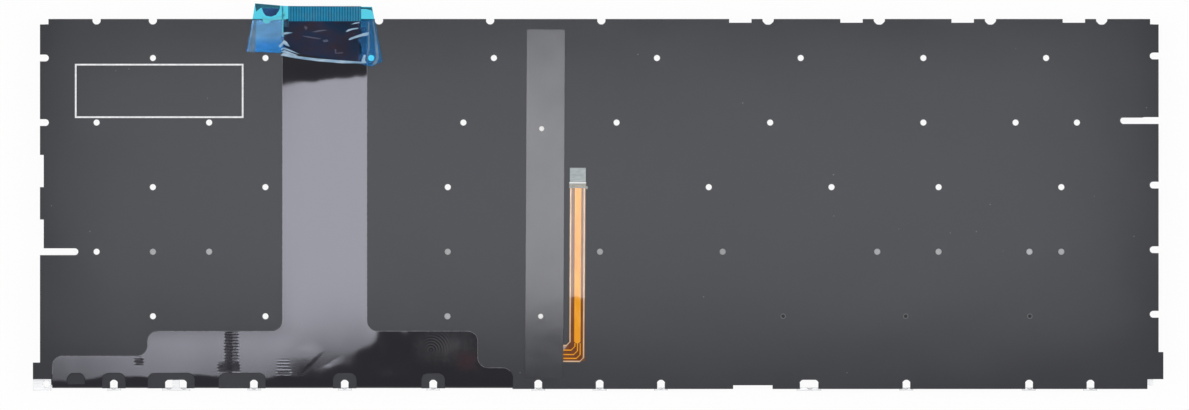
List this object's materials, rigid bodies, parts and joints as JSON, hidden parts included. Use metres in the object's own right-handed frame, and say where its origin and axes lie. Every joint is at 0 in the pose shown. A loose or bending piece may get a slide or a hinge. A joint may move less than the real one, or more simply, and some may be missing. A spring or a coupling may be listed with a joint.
{
  "type": "laptop keyboard module",
  "caption": "Thin backlit laptop keyboard with a number pad, lying face down: dark back film with post holes and edge notches, folded membrane tail, and keys that travel on scissor links.",
  "frame": {"origin": "on the plane of the keycap tops, at the middle of the bounding box", "axes": "+X to the escape key's side, which is right when the back is seen with +Y up; +Y to the edge nearest the screen; +Z out of the back"},
  "size_m": [0.3334, 0.1142, 0.0057],
  "materials": {
    "film": "dark grey printed film, fine satin",
    "membrane": "black glossy film",
    "wrap": "clear blue film, wrinkled",
    "plate": "plain sheet",
    "guide": "clear sheet with white dots",
    "flex": "amber polyimide over copper",
    "stiffener": "grey sheet",
    "tape": "grey satin tape",
    "lights": "moulded",
    "dome": "translucent silicone",
    "link": "moulded",
    "wire": "drawn wire",
    "keycap": "black, fine grain"
  },
  "bodies": {
    "module": {"arrow_keys": "keycap", "back_film": "film", "backlight_flex": "flex", "base_plate": "plate", "connector_wrap": "wrap", "flex_stiffener": "stiffener", "function_row_keys": "keycap", "inner_links": "link", "light_guide": "guide", "lights": "lights", "membrane": "membrane", "modifier_keys": "keycap", "number_pad_keys": "keycap", "outer_links": "link", "punctuation_keys": "keycap", "rubber_domes": "dome", "strip_tape": "tape", "tail_stiffener": "stiffener"},
    "key_1": {"key_1": "keycap"},
    "key_2": {"key_2": "keycap"},
    "key_3": {"key_3": "keycap"},
    "key_4": {"key_4": "keycap"},
    "key_5": {"key_5": "keycap"},
    "key_6": {"key_6": "keycap"},
    "key_7": {"key_7": "keycap"},
    "key_8": {"key_8": "keycap"},
    "key_9": {"key_9": "keycap"},
    "key_0": {"key_0": "keycap"},
    "key_q": {"key_q": "keycap"},
    "key_w": {"key_w": "keycap"},
    "key_e": {"key_e": "keycap"},
    "key_r": {"key_r": "keycap"},
    "key_t": {"key_t": "keycap"},
    "key_y": {"key_y": "keycap"},
    "key_u": {"key_u": "keycap"},
    "key_i": {"key_i": "keycap"},
    "key_o": {"key_o": "keycap"},
    "key_p": {"key_p": "keycap"},
    "key_a": {"key_a": "keycap"},
    "key_s": {"key_s": "keycap"},
    "key_d": {"key_d": "keycap"},
    "key_f": {"key_f": "keycap"},
    "key_g": {"key_g": "keycap"},
    "key_h": {"key_h": "keycap"},
    "key_j": {"key_j": "keycap"},
    "key_k": {"key_k": "keycap"},
    "key_l": {"key_l": "keycap"},
    "key_z": {"key_z": "keycap"},
    "key_x": {"key_x": "keycap"},
    "key_c": {"key_c": "keycap"},
    "key_v": {"key_v": "keycap"},
    "key_b": {"key_b": "keycap"},
    "key_n": {"key_n": "keycap"},
    "key_m": {"key_m": "keycap"},
    "key_space": {"key_space": "keycap"},
    "space_stabiliser": {"space_stabiliser": "wire"}
  },
  "joints": [
    {"name": "key_1_travel", "type": "slide", "parent": "module", "child": "key_1", "axis": [0, 0, 1], "range_m": [0, 0.0015], "stiffness_N_per_m": 350, "springref_m": -0.0003, "deforming": ["rubber_domes", "outer_links", "inner_links"]},
    {"name": "key_2_travel", "type": "slide", "parent": "module", "child": "key_2", "axis": [0, 0, 1], "range_m": [0, 0.0015], "stiffness_N_per_m": 350, "springref_m": -0.0003, "deforming": ["rubber_domes", "outer_links", "inner_links"]},
    {"name": "key_3_travel", "type": "slide", "parent": "module", "child": "key_3", "axis": [0, 0, 1], "range_m": [0, 0.0015], "stiffness_N_per_m": 350, "springref_m": -0.0003, "deforming": ["rubber_domes", "outer_links", "inner_links"]},
    {"name": "key_4_travel", "type": "slide", "parent": "module", "child": "key_4", "axis": [0, 0, 1], "range_m": [0, 0.0015], "stiffness_N_per_m": 350, "springref_m": -0.0003, "deforming": ["rubber_domes", "outer_links", "inner_links"]},
    {"name": "key_5_travel", "type": "slide", "parent": "module", "child": "key_5", "axis": [0, 0, 1], "range_m": [0, 0.0015], "stiffness_N_per_m": 350, "springref_m": -0.0003, "deforming": ["rubber_domes", "outer_links", "inner_links"]},
    {"name": "key_6_travel", "type": "slide", "parent": "module", "child": "key_6", "axis": [0, 0, 1], "range_m": [0, 0.0015], "stiffness_N_per_m": 350, "springref_m": -0.0003, "deforming": ["rubber_domes", "outer_links", "inner_links"]},
    {"name": "key_7_travel", "type": "slide", "parent": "module", "child": "key_7", "axis": [0, 0, 1], "range_m": [0, 0.0015], "stiffness_N_per_m": 350, "springref_m": -0.0003, "deforming": ["rubber_domes", "outer_links", "inner_links"]},
    {"name": "key_8_travel", "type": "slide", "parent": "module", "child": "key_8", "axis": [0, 0, 1], "range_m": [0, 0.0015], "stiffness_N_per_m": 350, "springref_m": -0.0003, "deforming": ["rubber_domes", "outer_links", "inner_links"]},
    {"name": "key_9_travel", "type": "slide", "parent": "module", "child": "key_9", "axis": [0, 0, 1], "range_m": [0, 0.0015], "stiffness_N_per_m": 350, "springref_m": -0.0003, "deforming": ["rubber_domes", "outer_links", "inner_links"]},
    {"name": "key_0_travel", "type": "slide", "parent": "module", "child": "key_0", "axis": [0, 0, 1], "range_m": [0, 0.0015], "stiffness_N_per_m": 350, "springref_m": -0.0003, "deforming": ["rubber_domes", "outer_links", "inner_links"]},
    {"name": "key_q_travel", "type": "slide", "parent": "module", "child": "key_q", "axis": [0, 0, 1], "range_m": [0, 0.0015], "stiffness_N_per_m": 350, "springref_m": -0.0003, "deforming": ["rubber_domes", "outer_links", "inner_links"]},
    {"name": "key_w_travel", "type": "slide", "parent": "module", "child": "key_w", "axis": [0, 0, 1], "range_m": [0, 0.0015], "stiffness_N_per_m": 350, "springref_m": -0.0003, "deforming": ["rubber_domes", "outer_links", "inner_links"]},
    {"name": "key_e_travel", "type": "slide", "parent": "module", "child": "key_e", "axis": [0, 0, 1], "range_m": [0, 0.0015], "stiffness_N_per_m": 350, "springref_m": -0.0003, "deforming": ["rubber_domes", "outer_links", "inner_links"]},
    {"name": "key_r_travel", "type": "slide", "parent": "module", "child": "key_r", "axis": [0, 0, 1], "range_m": [0, 0.0015], "stiffness_N_per_m": 350, "springref_m": -0.0003, "deforming": ["rubber_domes", "outer_links", "inner_links"]},
    {"name": "key_t_travel", "type": "slide", "parent": "module", "child": "key_t", "axis": [0, 0, 1], "range_m": [0, 0.0015], "stiffness_N_per_m": 350, "springref_m": -0.0003, "deforming": ["rubber_domes", "outer_links", "inner_links"]},
    {"name": "key_y_travel", "type": "slide", "parent": "module", "child": "key_y", "axis": [0, 0, 1], "range_m": [0, 0.0015], "stiffness_N_per_m": 350, "springref_m": -0.0003, "deforming": ["rubber_domes", "outer_links", "inner_links"]},
    {"name": "key_u_travel", "type": "slide", "parent": "module", "child": "key_u", "axis": [0, 0, 1], "range_m": [0, 0.0015], "stiffness_N_per_m": 350, "springref_m": -0.0003, "deforming": ["rubber_domes", "outer_links", "inner_links"]},
    {"name": "key_i_travel", "type": "slide", "parent": "module", "child": "key_i", "axis": [0, 0, 1], "range_m": [0, 0.0015], "stiffness_N_per_m": 350, "springref_m": -0.0003, "deforming": ["rubber_domes", "outer_links", "inner_links"]},
    {"name": "key_o_travel", "type": "slide", "parent": "module", "child": "key_o", "axis": [0, 0, 1], "range_m": [0, 0.0015], "stiffness_N_per_m": 350, "springref_m": -0.0003, "deforming": ["rubber_domes", "outer_links", "inner_links"]},
    {"name": "key_p_travel", "type": "slide", "parent": "module", "child": "key_p", "axis": [0, 0, 1], "range_m": [0, 0.0015], "stiffness_N_per_m": 350, "springref_m": -0.0003, "deforming": ["rubber_domes", "outer_links", "inner_links"]},
    {"name": "key_a_travel", "type": "slide", "parent": "module", "child": "key_a", "axis": [0, 0, 1], "range_m": [0, 0.0015], "stiffness_N_per_m": 350, "springref_m": -0.0003, "deforming": ["rubber_domes", "outer_links", "inner_links"]},
    {"name": "key_s_travel", "type": "slide", "parent": "module", "child": "key_s", "axis": [0, 0, 1], "range_m": [0, 0.0015], "stiffness_N_per_m": 350, "springref_m": -0.0003, "deforming": ["rubber_domes", "outer_links", "inner_links"]},
    {"name": "key_d_travel", "type": "slide", "parent": "module", "child": "key_d", "axis": [0, 0, 1], "range_m": [0, 0.0015], "stiffness_N_per_m": 350, "springref_m": -0.0003, "deforming": ["rubber_domes", "outer_links", "inner_links"]},
    {"name": "key_f_travel", "type": "slide", "parent": "module", "child": "key_f", "axis": [0, 0, 1], "range_m": [0, 0.0015], "stiffness_N_per_m": 350, "springref_m": -0.0003, "deforming": ["rubber_domes", "outer_links", "inner_links"]},
    {"name": "key_g_travel", "type": "slide", "parent": "module", "child": "key_g", "axis": [0, 0, 1], "range_m": [0, 0.0015], "stiffness_N_per_m": 350, "springref_m": -0.0003, "deforming": ["rubber_domes", "outer_links", "inner_links"]},
    {"name": "key_h_travel", "type": "slide", "parent": "module", "child": "key_h", "axis": [0, 0, 1], "range_m": [0, 0.0015], "stiffness_N_per_m": 350, "springref_m": -0.0003, "deforming": ["rubber_domes", "outer_links", "inner_links"]},
    {"name": "key_j_travel", "type": "slide", "parent": "module", "child": "key_j", "axis": [0, 0, 1], "range_m": [0, 0.0015], "stiffness_N_per_m": 350, "springref_m": -0.0003, "deforming": ["rubber_domes", "outer_links", "inner_links"]},
    {"name": "key_k_travel", "type": "slide", "parent": "module", "child": "key_k", "axis": [0, 0, 1], "range_m": [0, 0.0015], "stiffness_N_per_m": 350, "springref_m": -0.0003, "deforming": ["rubber_domes", "outer_links", "inner_links"]},
    {"name": "key_l_travel", "type": "slide", "parent": "module", "child": "key_l", "axis": [0, 0, 1], "range_m": [0, 0.0015], "stiffness_N_per_m": 350, "springref_m": -0.0003, "deforming": ["rubber_domes", "outer_links", "inner_links"]},
    {"name": "key_z_travel", "type": "slide", "parent": "module", "child": "key_z", "axis": [0, 0, 1], "range_m": [0, 0.0015], "stiffness_N_per_m": 350, "springref_m": -0.0003, "deforming": ["rubber_domes", "outer_links", "inner_links"]},
    {"name": "key_x_travel", "type": "slide", "parent": "module", "child": "key_x", "axis": [0, 0, 1], "range_m": [0, 0.0015], "stiffness_N_per_m": 350, "springref_m": -0.0003, "deforming": ["rubber_domes", "outer_links", "inner_links"]},
    {"name": "key_c_travel", "type": "slide", "parent": "module", "child": "key_c", "axis": [0, 0, 1], "range_m": [0, 0.0015], "stiffness_N_per_m": 350, "springref_m": -0.0003, "deforming": ["rubber_domes", "outer_links", "inner_links"]},
    {"name": "key_v_travel", "type": "slide", "parent": "module", "child": "key_v", "axis": [0, 0, 1], "range_m": [0, 0.0015], "stiffness_N_per_m": 350, "springref_m": -0.0003, "deforming": ["rubber_domes", "outer_links", "inner_links"]},
    {"name": "key_b_travel", "type": "slide", "parent": "module", "child": "key_b", "axis": [0, 0, 1], "range_m": [0, 0.0015], "stiffness_N_per_m": 350, "springref_m": -0.0003, "deforming": ["rubber_domes", "outer_links", "inner_links"]},
    {"name": "key_n_travel", "type": "slide", "parent": "module", "child": "key_n", "axis": [0, 0, 1], "range_m": [0, 0.0015], "stiffness_N_per_m": 350, "springref_m": -0.0003, "deforming": ["rubber_domes", "outer_links", "inner_links"]},
    {"name": "key_m_travel", "type": "slide", "parent": "module", "child": "key_m", "axis": [0, 0, 1], "range_m": [0, 0.0015], "stiffness_N_per_m": 350, "springref_m": -0.0003, "deforming": ["rubber_domes", "outer_links", "inner_links"]},
    {"name": "key_space_travel", "type": "slide", "parent": "module", "child": "key_space", "axis": [0, 0, 1], "range_m": [0, 0.0015], "stiffness_N_per_m": 350, "springref_m": -0.0003, "deforming": ["rubber_domes", "outer_links", "inner_links"]},
    {"name": "space_stabiliser_turn", "type": "hinge", "parent": "module", "child": "space_stabiliser", "pos_m": [0.05475, -0.05097, 0.0035], "axis": [1, 0, 0], "range_deg": [0, 14.81]}
  ],
  "couplings": [
    {"joint": "space_stabiliser_turn", "follows": "key_space_travel", "rad_per_m": 172.33}
  ]
}
